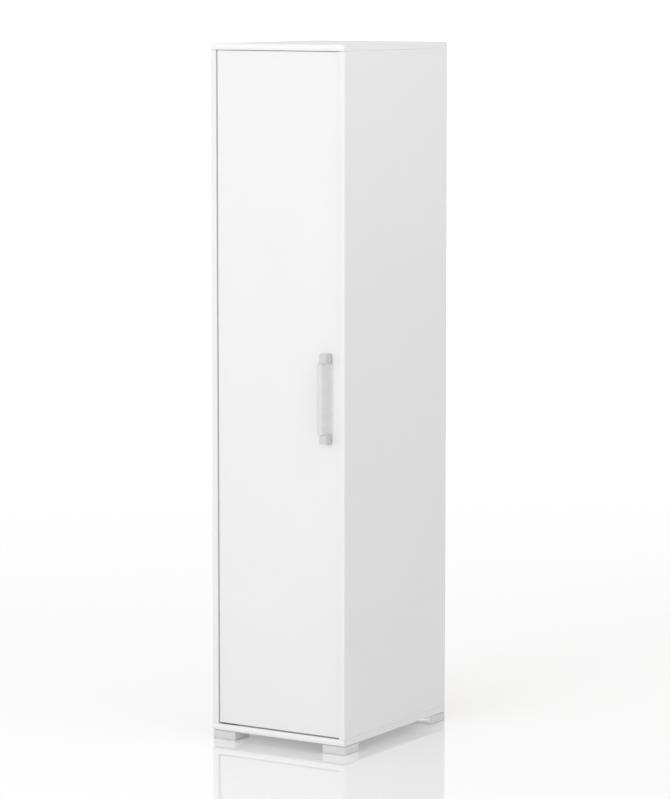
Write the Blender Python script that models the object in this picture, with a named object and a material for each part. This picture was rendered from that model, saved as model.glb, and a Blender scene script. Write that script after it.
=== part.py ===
"""A one-door wardrobe: a white board carcass on four low feet, with an inset door on pivot hinges.

The origin is on the floor, at the middle of the room that the closed wardrobe takes up, its handle
included. X runs to the right, Y to the back and Z up, so the door faces -Y. Sizes are in metres.
"""

from math import asin, cos, pi, radians, sin

import bmesh
import bpy
from mathutils import Matrix, Vector

# Carcass
WIDTH = 0.440
DEPTH = 0.555  # a side panel, front edge to back edge
HEIGHT = 1.970  # floor to top
BOARD = 0.018
NOSE = 0.0045  # how far the rounded front of the top and bottom panels stands ahead of the sides
NOSE_STEPS = 12
EDGE_ROUNDING = 0.0008
SEAT = 0.0003  # gap left between two pieces that touch

# Feet
FOOT_HEIGHT = 0.026
FOOT_SIDE = 0.074
FOOT_SETBACK = 0.0025  # from the side panels' front edges to the front feet
FOOT_ROUNDING = 0.0012
FOOT_COUNTERBORE = 0.012
FOOT_COUNTERBORE_RADIUS = 0.0065

# Back panel, in grooves
BACK_BOARD = 0.003
BACK_INSET = 0.010  # from the carcass's back edges to the groove
GROOVE_DEPTH = 0.008
BACK_SPLIT = 0.990  # height of the joint between the two halves
STRIP_HEIGHT = 0.024
STRIP_WALL = 0.0012

# Door
DOOR_BOARD = 0.018
DOOR_SIDE_GAP = 0.0022
DOOR_TOP_GAP = 0.0014
DOOR_BOTTOM_GAP = 0.0035  # room for the hinge washer
DOOR_RECESS = 0.0046  # from the side panels' front edges to the door's face

# Pivot hinges
PIVOT_FROM_EDGE = 0.010  # from the door's hinge edge
PIVOT_FROM_FACE = 0.006  # from the door's face, so that the front corner clears the side panel
PIVOT_RADIUS = 0.0025
PIVOT_BITE = 0.010  # how far a pin reaches past each plate
PLATE_LENGTH = 0.060
PLATE_WIDTH = 0.008
PLATE_BOARD = 0.0025
PLATE_LEAD = 0.007  # from the plate's end to the pivot
WASHER_RADIUS = 0.006

# Handle
POST_SPACING = 0.224
POST_WIDTH = 0.0225
POST_HEIGHT = 0.0255
POST_REACH = 0.032
POST_CORNER = 0.003  # rounding of the two upright front edges
POST_ROUNDING = 0.0008
POST_FROM_EDGE = 0.035  # from the door's edge to the middle of the handle
DIMPLE_RADIUS = 0.0045
DIMPLE_DEPTH = 0.0006
GRIP_WALL = 0.003
GRIP_LEAN = radians(20)  # of the wall, to the left of straight out
GRIP_FLARE = 0.006  # radius where the wall turns into the foot
GRIP_EDGE = 0.001  # thickness of the foot's edge
LIP_RADIUS = 0.009
LIP_OFFSET = 0.008  # from the middle of the handle, left to the middle of the lip
LIP_REACH = 0.0275  # from the door to the middle of the lip
LIP_CURL = radians(110)  # from straight ahead, left to the lip's end
LIP_STEPS = 18
FLARE_STEPS = 8
TENON_WIDTH = 0.012
TENON_BOARD = 0.0014
TENON_LENGTH = 0.006
TENON_START = 0.006  # along the wall, from the lip

# Hat shelf and its pins
HAT_SPACE = 0.300  # from the shelf up to the top panel
SHELF_BOARD = 0.018
SHELF_SETBACK = 0.022  # from the back of the door to the shelf
SHELF_SIDE_GAP = 0.0008
SHELF_BACK_GAP = 0.0008
SHELF_PIN_RADIUS = 0.0025
SHELF_PIN_FOOT_RADIUS = 0.0035
SHELF_PIN_REACH = 0.009  # into the board, and out of it
SHELF_PIN_FROM_EDGE = 0.060
HOLE_PITCH = 0.032
SPARE_HOLES = 2  # above and below each pin

# Clothes rail
RAIL_TALL = 0.030
RAIL_WIDE = 0.015
RAIL_WALL = 0.0012
RAIL_DROP = 0.062  # from the shelf's underside to the middle of the rail
SOCKET_WALL = 0.0025
SOCKET_FLANGE = 0.005
SOCKET_BASE = 0.004
SOCKET_MOUTH = 0.012

# Cam fittings at the carcass's corner joints
CAM_RADIUS = 0.0075
CAM_DEPTH = 0.0125
CAM_FROM_END = 0.034
CAM_FROM_EDGE = 0.075
CAM_SLOT_WIDTH = 0.0016
CAM_SLOT_LENGTH = 0.008
CAM_SLOT_DEPTH = 0.0018
BOLT_RADIUS = 0.0025
BOLT_THREAD_RADIUS = 0.003
BOLT_BITE = 0.011
BOLT_HEAD_RADIUS = 0.0035
BOLT_HEAD = 0.003
BOLT_BORE_RADIUS = 0.004

# Screws
SCREW_RADIUS = 0.002
SCREW_HEAD_RADIUS = 0.0042
SCREW_HEAD = 0.0026
SCREW_DOME = 0.6  # share of the head that its rounded top takes
SCREW_BITE = 0.012

# Magnetic catch
CATCH_TALL = 0.050
CATCH_WIDE = 0.016
CATCH_DEEP = 0.015
CATCH_SCREW_SPACING = 0.037
MAGNET_TALL = 0.022
MAGNET_WIDE = 0.008
MAGNET_DEEP = 0.007
STRIKE_TALL = 0.036
STRIKE_WIDE = 0.013
STRIKE_BOARD = 0.0016
STRIKE_HEAD_RADIUS = 0.0035

# Round pieces
CAM_SIDES = 24
ROUND_SIDES = 16
SMALL_SIDES = 12
SMOOTH_ANGLE = radians(40)
OVERCUT = 0.002  # how far a cutter reaches past the face that it opens

# Places that follow from the sizes above
HANDLE_REACH = LIP_REACH + LIP_RADIUS
FRONT = -(DEPTH + DOOR_RECESS - HANDLE_REACH) / 2
BACK = FRONT + DEPTH
INNER = WIDTH / 2 - BOARD
FLOOR_TOP = FOOT_HEIGHT + BOARD
CEILING = HEIGHT - BOARD
DOOR_FACE = FRONT + DOOR_RECESS
DOOR_BACK = DOOR_FACE + DOOR_BOARD
DOOR_HALF = INNER - DOOR_SIDE_GAP
DOOR_BOTTOM = FLOOR_TOP + DOOR_BOTTOM_GAP
DOOR_TOP = CEILING - DOOR_TOP_GAP
DOOR_MIDDLE = (DOOR_BOTTOM + DOOR_TOP) / 2
PIVOT_X = -DOOR_HALF + PIVOT_FROM_EDGE
PIVOT_Y = DOOR_FACE + PIVOT_FROM_FACE
HANDLE_X = DOOR_HALF - POST_FROM_EDGE
GRIP_TOP = DOOR_MIDDLE + POST_SPACING / 2 - POST_HEIGHT / 2 - SEAT
GRIP_BOTTOM = DOOR_MIDDLE - POST_SPACING / 2 + POST_HEIGHT / 2 + SEAT
GROOVE_BACK = BACK - BACK_INSET
BACK_REAR = GROOVE_BACK - SEAT
BACK_FACE = BACK_REAR - BACK_BOARD
GROOVE_FRONT = BACK_FACE - SEAT
SHELF_TOP = CEILING - HAT_SPACE
SHELF_BOTTOM = SHELF_TOP - SHELF_BOARD
SHELF_FRONT = DOOR_BACK + SHELF_SETBACK
SHELF_BACK = BACK_FACE - SHELF_BACK_GAP
SHELF_PIN_Z = SHELF_BOTTOM - SEAT - SHELF_PIN_FOOT_RADIUS
RAIL_Y = (SHELF_FRONT + SHELF_BACK) / 2
RAIL_Z = SHELF_BOTTOM - RAIL_DROP
SOCKET_FACE = INNER - SEAT - SOCKET_BASE
STRIKE_FACE = DOOR_BACK + SEAT + STRIKE_BOARD
CATCH_FRONT = STRIKE_FACE + SEAT
CATCH_X = INNER - SEAT - CATCH_WIDE / 2
CATCH_Y = CATCH_FRONT + CATCH_DEEP / 2

# Colour, roughness and metallic value of each finish
FINISHES = {
    "white_board": ((0.86, 0.86, 0.86), 0.45, 0.0),
    "fibreboard": ((0.62, 0.50, 0.38), 0.80, 0.0),
    "white_plastic": ((0.84, 0.84, 0.83), 0.40, 0.0),
    "dark_plastic": ((0.06, 0.06, 0.06), 0.50, 0.0),
    "silver_plastic": ((0.62, 0.62, 0.63), 0.45, 0.0),
    "silver_metal": ((0.63, 0.63, 0.64), 0.35, 0.9),
    "zinc_steel": ((0.55, 0.56, 0.57), 0.35, 1.0),
    "chrome_tube": ((0.75, 0.75, 0.76), 0.12, 1.0),
    "dark_magnet": ((0.05, 0.05, 0.05), 0.60, 0.2),
}


def finish(name):
    """The material of that name, made the first time it is asked for."""
    if name in bpy.data.materials:
        return bpy.data.materials[name]
    colour, roughness, metallic = FINISHES[name]
    material = bpy.data.materials.new(name)
    material.use_nodes = True
    shader = material.node_tree.nodes["Principled BSDF"]
    shader.inputs["Base Color"].default_value = (*colour, 1.0)
    shader.inputs["Roughness"].default_value = roughness
    shader.inputs["Metallic"].default_value = metallic
    return material


def add_empty(name, place):
    """An empty that carries the pieces of one body."""
    empty = bpy.data.objects.new(name, None)
    empty.location = place
    bpy.context.scene.collection.objects.link(empty)
    return empty


def add_piece(name, bm, material, origin, body, smooth=False):
    """Makes an object of a mesh that is drawn in place, with its own origin at the point given."""
    origin = Vector(origin)
    bmesh.ops.translate(bm, vec=-origin, verts=bm.verts)
    bmesh.ops.recalc_face_normals(bm, faces=bm.faces)
    mesh = bpy.data.meshes.new(name)
    bm.to_mesh(mesh)
    bm.free()
    if smooth:
        mesh.shade_smooth()
        mesh.set_sharp_from_angle(angle=SMOOTH_ANGLE)
    mesh.materials.append(finish(material))
    piece = bpy.data.objects.new(name, mesh)
    piece.parent = body
    piece.location = origin - body.location
    bpy.context.scene.collection.objects.link(piece)
    return piece


def shape(piece, label, bm, operation="DIFFERENCE"):
    """Cuts a shape out of a piece, or joins it to the piece. The shape is drawn in place."""
    bmesh.ops.recalc_face_normals(bm, faces=bm.faces)
    mesh = bpy.data.meshes.new(f"{piece.name}_{label}")
    bm.to_mesh(mesh)
    bm.free()
    tool = bpy.data.objects.new(mesh.name, mesh)
    tool.hide_render = True
    tool.display_type = "WIRE"
    bpy.context.scene.collection.objects.link(tool)
    modifier = piece.modifiers.new(label, "BOOLEAN")
    modifier.operation = operation
    modifier.solver = "EXACT"
    modifier.object = tool


def add_box(bm, low, high):
    """Adds a box between two corners, given in any order, and returns its vertices."""
    low, high = Vector(low), Vector(high)
    size = Vector(abs(b - a) for a, b in zip(low, high))
    matrix = Matrix.Translation((low + high) / 2) @ Matrix.Diagonal((*size, 1.0))
    return bmesh.ops.create_cube(bm, size=1.0, matrix=matrix)["verts"]


def add_rod(bm, start, end, radius, sides, end_radius=None):
    """Adds a closed rod or cone from one point to another."""
    start, end = Vector(start), Vector(end)
    along = end - start
    turn = along.to_track_quat("Z", "Y").to_matrix().to_4x4()
    bmesh.ops.create_cone(
        bm,
        cap_ends=True,
        segments=sides,
        radius1=radius,
        radius2=radius if end_radius is None else end_radius,
        depth=along.length,
        matrix=Matrix.Translation((start + end) / 2) @ turn,
    )


def add_turned(bm, start, along, profile, sides):
    """Turns a profile of (distance along, radius) round the line from start in that direction."""
    axis = Vector(along).normalized()
    across = axis.orthogonal().normalized()
    points = [Vector(start) + axis * far + across * radius for far, radius in profile]
    verts = [bm.verts.new(point) for point in points]
    edges = [bm.edges.new(pair) for pair in zip(verts, verts[1:])]
    bmesh.ops.spin(
        bm, geom=verts + edges, cent=start, axis=axis, angle=2 * pi, steps=sides, use_merge=True
    )
    bmesh.ops.remove_doubles(bm, verts=bm.verts, dist=1e-6)


def add_prism(bm, outline, along):
    """Pushes a closed outline of points along a vector and returns the end face."""
    base = bm.faces.new([bm.verts.new(point) for point in outline])
    moved = bmesh.ops.extrude_face_region(bm, geom=[base])["geom"]
    verts = [item for item in moved if isinstance(item, bmesh.types.BMVert)]
    bmesh.ops.translate(bm, vec=along, verts=verts)
    return next(item for item in moved if isinstance(item, bmesh.types.BMFace))


def round_edges(bm, edges, radius, steps=2):
    """Rounds the edges given."""
    bmesh.ops.bevel(bm, geom=edges, offset=radius, segments=steps, profile=0.5, affect="EDGES")


def sharp_edges(bm):
    """The edges where two faces meet at a clear angle."""
    return [edge for edge in bm.edges if edge.calc_face_angle() > SMOOTH_ANGLE]


def uprights_at(bm, y):
    """The edges that stand upright at a depth."""
    edges = []
    for edge in bm.edges:
        low, high = (vert.co for vert in edge.verts)
        upright = (high - low).xy.length < SEAT
        if upright and abs(low.y - y) < SEAT:
            edges.append(edge)
    return edges


def screw(name, start, along, length, body):
    """A pan-head screw whose head starts at a point and whose shank runs on from it."""
    profile = [
        (0, 0),
        (0, SCREW_HEAD_RADIUS * SCREW_DOME),
        (SCREW_HEAD * SCREW_DOME, SCREW_HEAD_RADIUS),
        (SCREW_HEAD, SCREW_HEAD_RADIUS),
        (SCREW_HEAD, SCREW_RADIUS),
        (SCREW_HEAD + length, SCREW_RADIUS),
        (SCREW_HEAD + length, 0),
    ]
    bm = bmesh.new()
    add_turned(bm, start, along, profile, ROUND_SIDES)
    return add_piece(name, bm, "zinc_steel", start, body, smooth=True)


def screw_hole(bm, start, along, length):
    """The hole that a screw's shank takes, from a face inwards."""
    start, along = Vector(start), Vector(along).normalized()
    end = start + along * (length + SEAT)
    add_rod(bm, start - along * OVERCUT, end, SCREW_RADIUS + SEAT, ROUND_SIDES)


def corner_joints():
    """Name, side, depth and level of each cam joint. Side and level are -1 or 1."""
    for level, level_name in ((1, "top"), (-1, "bottom")):
        for side, side_name in ((-1, "left"), (1, "right")):
            for y, depth_name in ((FRONT + CAM_FROM_EDGE, "front"), (BACK - CAM_FROM_EDGE, "back")):
                yield f"{level_name}_{side_name}_{depth_name}", side, y, level


def joint_plane(level):
    """Height of the joint between the side panels and the top (1) or bottom (-1) panel."""
    return CEILING if level > 0 else FLOOR_TOP


def cam_height(level):
    return joint_plane(level) - level * CAM_FROM_END


def bolt_x(side):
    return side * (INNER + BOARD / 2)


def foot_places():
    """Name and middle of each foot."""
    x = WIDTH / 2 - FOOT_SIDE / 2
    for side, side_name in ((-1, "left"), (1, "right")):
        yield f"front_{side_name}", side * x, FRONT + FOOT_SETBACK + FOOT_SIDE / 2
        yield f"back_{side_name}", side * x, BACK - FOOT_SIDE / 2


def shelf_pin_places():
    """Name, side and depth of each shelf pin."""
    for side, side_name in ((-1, "left"), (1, "right")):
        yield f"{side_name}_front", side, SHELF_FRONT + SHELF_PIN_FROM_EDGE
        yield f"{side_name}_back", side, SHELF_BACK - SHELF_PIN_FROM_EDGE


def make_side_panel(name, side, body):
    """A side panel with its back groove, cam holes, bolt bores, shelf-pin holes and screw holes."""
    bottom, top = FLOOR_TOP + SEAT, CEILING - SEAT
    bm = bmesh.new()
    add_box(bm, (side * INNER, FRONT, bottom), (side * WIDTH / 2, BACK, top))
    round_edges(bm, uprights_at(bm, FRONT), EDGE_ROUNDING)
    panel = add_piece(name, bm, "white_board", (side * WIDTH / 2, FRONT, bottom), body)

    groove = bmesh.new()
    low = (side * (INNER - OVERCUT), GROOVE_FRONT, bottom - OVERCUT)
    high = (side * (INNER + GROOVE_DEPTH), GROOVE_BACK, top + OVERCUT)
    add_box(groove, low, high)
    shape(panel, "groove", groove)

    bores = bmesh.new()
    pockets = bmesh.new()
    for _, joint_side, y, level in corner_joints():
        if joint_side != side:
            continue
        z = cam_height(level)
        inner_end = Vector((bolt_x(side), y, z - level * (BOLT_HEAD + SEAT)))
        outer_end = Vector((bolt_x(side), y, joint_plane(level) + level * OVERCUT))
        add_rod(bores, inner_end, outer_end, BOLT_BORE_RADIUS, ROUND_SIDES)
        mouth = (side * (INNER - OVERCUT), y, z)
        add_rod(pockets, mouth, (side * (INNER + CAM_DEPTH + SEAT), y, z), CAM_RADIUS + SEAT, CAM_SIDES)
    shape(panel, "bolt_bores", bores)
    shape(panel, "cam_pockets", pockets)

    holes = bmesh.new()
    for _, pin_side, y in shelf_pin_places():
        if pin_side != side:
            continue
        for step in range(-SPARE_HOLES, SPARE_HOLES + 1):
            z = SHELF_PIN_Z + step * HOLE_PITCH
            bottom_end = (side * (INNER + SHELF_PIN_REACH + SEAT), y, z)
            mouth = (side * (INNER - OVERCUT), y, z)
            add_rod(holes, mouth, bottom_end, SHELF_PIN_RADIUS + SEAT, SMALL_SIDES)
    screw_hole(holes, (side * INNER, RAIL_Y, RAIL_Z), (side, 0, 0), SCREW_BITE)
    if side > 0:
        for z in catch_screw_heights():
            screw_hole(holes, (INNER, CATCH_Y, z), (1, 0, 0), SCREW_BITE)
    shape(panel, "holes", holes)


def nose_outline(x, low, high):
    """Outline of a top or bottom panel seen from its end, with a rounded front."""
    middle, half = (low + high) / 2, (high - low) / 2
    outline = [(x, BACK, low), (x, BACK, high)]
    for step in range(NOSE_STEPS + 1):
        angle = pi / 2 - pi * step / NOSE_STEPS
        outline.append((x, FRONT - NOSE * cos(angle), middle + half * sin(angle)))
    return outline


def make_end_panel(name, level, body):
    """The top (1) or bottom (-1) panel, with its back groove, bolt holes and hinge pocket."""
    inner_face = joint_plane(level)
    low, high = sorted((inner_face, inner_face + level * BOARD))
    bm = bmesh.new()
    add_prism(bm, nose_outline(-WIDTH / 2, low, high), (WIDTH, 0, 0))
    panel = add_piece(name, bm, "white_board", (0, FRONT, low), body, smooth=True)

    groove = bmesh.new()
    reach = INNER + GROOVE_DEPTH
    add_box(
        groove,
        (-reach, GROOVE_FRONT, inner_face - level * OVERCUT),
        (reach, GROOVE_BACK, inner_face + level * GROOVE_DEPTH),
    )
    shape(panel, "groove", groove)

    holes = bmesh.new()
    for _, side, y, joint_level in corner_joints():
        if joint_level == level:
            mouth = (bolt_x(side), y, inner_face - level * OVERCUT)
            bottom = (bolt_x(side), y, inner_face + level * (BOLT_BITE + SEAT))
            add_rod(holes, mouth, bottom, BOLT_THREAD_RADIUS + SEAT, ROUND_SIDES)
    if level < 0:
        for _, x, y in foot_places():
            screw_hole(holes, (x, y, FOOT_HEIGHT), (0, 0, 1), SCREW_BITE)
    shape(panel, "holes", holes)
    cut_hinge_seat(panel, inner_face, level)


def plate_corners(face, direction, clearance):
    """Two corners of a hinge plate let into a face. The direction, up or down, goes into the board."""
    low = (PIVOT_X - PLATE_LEAD - clearance, PIVOT_Y - PLATE_WIDTH / 2 - clearance, face)
    high_x = PIVOT_X - PLATE_LEAD + PLATE_LENGTH + clearance
    high = (high_x, PIVOT_Y + PLATE_WIDTH / 2 + clearance, face + direction * (PLATE_BOARD + clearance))
    return low, high


def cut_hinge_seat(piece, face, direction):
    """Lets a hinge plate and its pin into a face."""
    pocket = bmesh.new()
    low, high = plate_corners(face, direction, SEAT)
    add_box(pocket, (low[0], low[1], face - direction * OVERCUT), high)
    shape(piece, f"plate_pocket_{'up' if direction > 0 else 'down'}", pocket)
    bore = bmesh.new()
    depth = PLATE_BOARD + PIVOT_BITE + SEAT
    add_rod(
        bore,
        (PIVOT_X, PIVOT_Y, face),
        (PIVOT_X, PIVOT_Y, face + direction * depth),
        PIVOT_RADIUS + SEAT,
        ROUND_SIDES,
    )
    shape(piece, f"pin_bore_{'up' if direction > 0 else 'down'}", bore)


def make_hinge_plate(name, face, direction, body):
    """A steel plate, let in flush, with a hole for the pin."""
    bm = bmesh.new()
    add_box(bm, *plate_corners(face, direction, 0))
    plate = add_piece(name, bm, "zinc_steel", (PIVOT_X, PIVOT_Y, face), body)
    bore = bmesh.new()
    inner = (PIVOT_X, PIVOT_Y, face + direction * (PLATE_BOARD + OVERCUT))
    outer = (PIVOT_X, PIVOT_Y, face - direction * OVERCUT)
    add_rod(bore, inner, outer, PIVOT_RADIUS + SEAT, ROUND_SIDES)
    shape(plate, "pin_bore", bore)


def make_hinges(carcass, door):
    """The pivot hinges: plates in the carcass and in the door, a pin each, and a washer under the door."""
    reach = PLATE_BOARD + PIVOT_BITE
    for level, level_name in ((1, "top"), (-1, "bottom")):
        carcass_face = joint_plane(level)
        door_face = DOOR_TOP if level > 0 else DOOR_BOTTOM
        make_hinge_plate(f"hinge_plate_{level_name}_carcass", carcass_face, level, carcass)
        make_hinge_plate(f"hinge_plate_{level_name}_door", door_face, -level, door)
        bm = bmesh.new()
        start = (PIVOT_X, PIVOT_Y, carcass_face + level * reach)
        end = (PIVOT_X, PIVOT_Y, door_face - level * reach)
        add_rod(bm, start, end, PIVOT_RADIUS, ROUND_SIDES)
        add_piece(f"hinge_pin_{level_name}", bm, "zinc_steel", start, carcass, smooth=True)
    bm = bmesh.new()
    low, high = FLOOR_TOP + SEAT, DOOR_BOTTOM - SEAT
    add_rod(bm, (PIVOT_X, PIVOT_Y, low), (PIVOT_X, PIVOT_Y, high), WASHER_RADIUS, CAM_SIDES)
    washer = add_piece("hinge_washer", bm, "dark_plastic", (PIVOT_X, PIVOT_Y, low), carcass, smooth=True)
    bore = bmesh.new()
    below, above = (PIVOT_X, PIVOT_Y, low - OVERCUT), (PIVOT_X, PIVOT_Y, high + OVERCUT)
    add_rod(bore, below, above, PIVOT_RADIUS + SEAT, ROUND_SIDES)
    shape(washer, "bore", bore)


def make_back(body):
    """The back panel's two halves and the strip that joins them."""
    half_width = INNER + GROOVE_DEPTH - SEAT
    web = STRIP_WALL / 2 + SEAT
    spans = {
        "back_panel_lower": (FLOOR_TOP - GROOVE_DEPTH + SEAT, BACK_SPLIT - web),
        "back_panel_upper": (BACK_SPLIT + web, CEILING + GROOVE_DEPTH - SEAT),
    }
    for name, (low, high) in spans.items():
        bm = bmesh.new()
        add_box(bm, (-half_width, BACK_FACE, low), (half_width, BACK_REAR, high))
        add_piece(name, bm, "fibreboard", (0, BACK_FACE, low), body)

    length = INNER - SEAT
    bm = bmesh.new()
    front, rear = BACK_FACE - SEAT - STRIP_WALL, BACK_REAR + SEAT + STRIP_WALL
    tall = STRIP_HEIGHT / 2
    low = (-length, front, BACK_SPLIT - tall)
    add_box(bm, low, (length, rear, BACK_SPLIT + tall))
    strip = add_piece("back_joint_strip", bm, "white_plastic", (0, front, BACK_SPLIT), body)
    slots = bmesh.new()
    for way in (-1, 1):
        add_box(
            slots,
            (-length - OVERCUT, BACK_FACE - SEAT, BACK_SPLIT + way * STRIP_WALL / 2),
            (length + OVERCUT, BACK_REAR + SEAT, BACK_SPLIT + way * (tall + OVERCUT)),
        )
    shape(strip, "slots", slots)


def make_shelf(body):
    """The hat shelf and its four pins."""
    half_width = INNER - SHELF_SIDE_GAP
    bm = bmesh.new()
    add_box(bm, (-half_width, SHELF_FRONT, SHELF_BOTTOM), (half_width, SHELF_BACK, SHELF_TOP))
    round_edges(bm, bm.edges[:], EDGE_ROUNDING)
    add_piece("hat_shelf", bm, "white_board", (0, SHELF_FRONT, SHELF_BOTTOM), body)

    chamfer = SHELF_PIN_RADIUS / 4
    for name, side, y in shelf_pin_places():
        profile = [
            (-SHELF_PIN_REACH, 0),
            (-SHELF_PIN_REACH, SHELF_PIN_RADIUS - chamfer),
            (chamfer - SHELF_PIN_REACH, SHELF_PIN_RADIUS),
            (SEAT, SHELF_PIN_RADIUS),
            (SEAT, SHELF_PIN_FOOT_RADIUS),
            (SHELF_PIN_REACH - chamfer, SHELF_PIN_FOOT_RADIUS),
            (SHELF_PIN_REACH, SHELF_PIN_FOOT_RADIUS - chamfer),
            (SHELF_PIN_REACH, 0),
        ]
        start = (side * INNER, y, SHELF_PIN_Z)
        bm = bmesh.new()
        add_turned(bm, start, (-side, 0, 0), profile, SMALL_SIDES)
        add_piece(f"shelf_pin_{name}", bm, "zinc_steel", start, body, smooth=True)


def oval(x, grow):
    """Points of the rail's outline, a slot shape with round ends, grown by a distance."""
    radius = RAIL_WIDE / 2 + grow
    rise = (RAIL_TALL - RAIL_WIDE) / 2
    points = []
    for end in (1, -1):
        for step in range(SMALL_SIDES // 2 + 1):
            angle = pi * step / (SMALL_SIDES // 2)
            y = RAIL_Y + end * radius * cos(angle)
            points.append((x, y, RAIL_Z + end * (rise + radius * sin(angle))))
    return points


def make_rail(body):
    """The oval clothes rail and the sockets that hold its ends."""
    half = SOCKET_FACE - SEAT
    bm = bmesh.new()
    add_prism(bm, oval(-half, 0), (2 * half, 0, 0))
    rail = add_piece("clothes_rail", bm, "chrome_tube", (0, RAIL_Y, RAIL_Z), body, smooth=True)
    hollow = bmesh.new()
    add_prism(hollow, oval(-half - OVERCUT, -RAIL_WALL), (2 * (half + OVERCUT), 0, 0))
    shape(rail, "hollow", hollow)

    rim = SEAT + SOCKET_WALL
    for side, side_name in ((-1, "left"), (1, "right")):
        foot = side * (INNER - SEAT)
        bm = bmesh.new()
        add_prism(bm, oval(foot, rim + SOCKET_FLANGE), (-side * SOCKET_BASE / 2, 0, 0))
        origin = (foot, RAIL_Y, RAIL_Z)
        socket = add_piece(f"rail_socket_{side_name}", bm, "white_plastic", origin, body, smooth=True)
        depth = SOCKET_BASE + SOCKET_MOUTH
        cup = bmesh.new()
        add_prism(cup, oval(foot - side * SOCKET_BASE / 4, rim), (-side * depth, 0, 0))
        shape(socket, "cup", cup, "UNION")
        cavity = bmesh.new()
        mouth = side * SOCKET_FACE
        add_prism(cavity, oval(mouth, SEAT), (-side * depth, 0, 0))
        shape(socket, "cavity", cavity)
        hole = bmesh.new()
        screw_hole(hole, (mouth, RAIL_Y, RAIL_Z), (side, 0, 0), SOCKET_BASE + OVERCUT)
        shape(socket, "screw_hole", hole)
        start = (mouth - side * (SEAT + SCREW_HEAD), RAIL_Y, RAIL_Z)
        screw(f"rail_socket_screw_{side_name}", start, (side, 0, 0), SOCKET_BASE + SCREW_BITE, body)


def make_feet(body):
    """Four square feet, each with a screw in a counterbore from below."""
    for name, x, y in foot_places():
        half = FOOT_SIDE / 2
        bm = bmesh.new()
        add_box(bm, (x - half, y - half, 0), (x + half, y + half, FOOT_HEIGHT - SEAT))
        round_edges(bm, bm.edges[:], FOOT_ROUNDING)
        foot = add_piece(f"foot_{name}", bm, "silver_plastic", (x, y, 0), body)
        bore = bmesh.new()
        add_rod(bore, (x, y, -OVERCUT), (x, y, FOOT_COUNTERBORE), FOOT_COUNTERBORE_RADIUS, CAM_SIDES)
        shape(foot, "counterbore", bore)
        hole = bmesh.new()
        screw_hole(hole, (x, y, FOOT_COUNTERBORE), (0, 0, 1), FOOT_HEIGHT - FOOT_COUNTERBORE + OVERCUT)
        shape(foot, "screw_hole", hole)
        start = (x, y, FOOT_COUNTERBORE - SEAT - SCREW_HEAD)
        length = FOOT_HEIGHT - FOOT_COUNTERBORE + SCREW_BITE
        screw(f"foot_screw_{name}", start, (0, 0, 1), length, body)


def make_cam(name, side, y, level, body):
    """A cam that sits in the side panel's inner face and holds its bolt's head."""
    z = cam_height(level)
    face = side * (INNER + SEAT)
    bm = bmesh.new()
    add_rod(bm, (face, y, z), (side * (INNER + CAM_DEPTH), y, z), CAM_RADIUS, CAM_SIDES)
    cam = add_piece(f"cam_{name}", bm, "zinc_steel", (face, y, z), body, smooth=True)
    clear = BOLT_HEAD_RADIUS + SEAT
    slot = bmesh.new()
    low = (bolt_x(side) - side * clear, y - clear, z - level * (BOLT_HEAD + SEAT))
    high = (side * (INNER + BOARD), y + clear, z + level * (CAM_RADIUS + OVERCUT))
    add_box(slot, low, high)
    shape(cam, "bolt_slot", slot)
    long_half, short_half = CAM_SLOT_LENGTH / 2, CAM_SLOT_WIDTH / 2
    arms = {"cross_flat": (long_half, short_half), "cross_upright": (short_half, long_half)}
    for label, (half_y, half_z) in arms.items():
        recess = bmesh.new()
        low = (side * (INNER - OVERCUT), y - half_y, z - half_z)
        high = (face + side * CAM_SLOT_DEPTH, y + half_y, z + half_z)
        add_box(recess, low, high)
        shape(cam, label, recess)


def make_cam_bolt(name, side, y, level, body):
    """A bolt that is screwed into the top or bottom panel and reaches into its cam."""
    start = (bolt_x(side), y, joint_plane(level))
    head = CAM_FROM_END - BOLT_HEAD / 2
    profile = [
        (-BOLT_BITE, 0),
        (-BOLT_BITE, BOLT_THREAD_RADIUS),
        (0, BOLT_THREAD_RADIUS),
        (0, BOLT_RADIUS),
        (head, BOLT_RADIUS),
        (head, BOLT_HEAD_RADIUS),
        (head + BOLT_HEAD, BOLT_HEAD_RADIUS),
        (head + BOLT_HEAD, 0),
    ]
    bm = bmesh.new()
    add_turned(bm, start, (0, 0, -level), profile, SMALL_SIDES)
    add_piece(f"cam_bolt_{name}", bm, "zinc_steel", start, body, smooth=True)


def post_heights():
    """Name and middle height of each handle post."""
    yield "upper", DOOR_MIDDLE + POST_SPACING / 2
    yield "lower", DOOR_MIDDLE - POST_SPACING / 2


def make_door(body):
    """The door panel, with its hinge seats and the holes for the handle's and the strike's screws."""
    bm = bmesh.new()
    add_box(bm, (-DOOR_HALF, DOOR_FACE, DOOR_BOTTOM), (DOOR_HALF, DOOR_BACK, DOOR_TOP))
    round_edges(bm, bm.edges[:], EDGE_ROUNDING)
    door = add_piece("door_panel", bm, "white_board", (PIVOT_X, PIVOT_Y, DOOR_BOTTOM), body)
    cut_hinge_seat(door, DOOR_TOP, -1)
    cut_hinge_seat(door, DOOR_BOTTOM, 1)
    holes = bmesh.new()
    for _, z in post_heights():
        screw_hole(holes, (HANDLE_X, DOOR_BACK, z), (0, -1, 0), DOOR_BOARD + OVERCUT)
    screw_hole(holes, (CATCH_X, DOOR_BACK, DOOR_MIDDLE), (0, -1, 0), SCREW_BITE)
    shape(door, "holes", holes)


def arc(middle, radius, start, end, steps):
    """Points along a circle between two angles."""
    turns = [start + (end - start) * step / steps for step in range(steps + 1)]
    return [(middle[0] + radius * cos(turn), middle[1] + radius * sin(turn)) for turn in turns]


def on_handle(points, z):
    """Points at a height, from their distances right of the handle's middle and out from the door."""
    return [(HANDLE_X + right, DOOR_FACE - out, z) for right, out in points]


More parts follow.
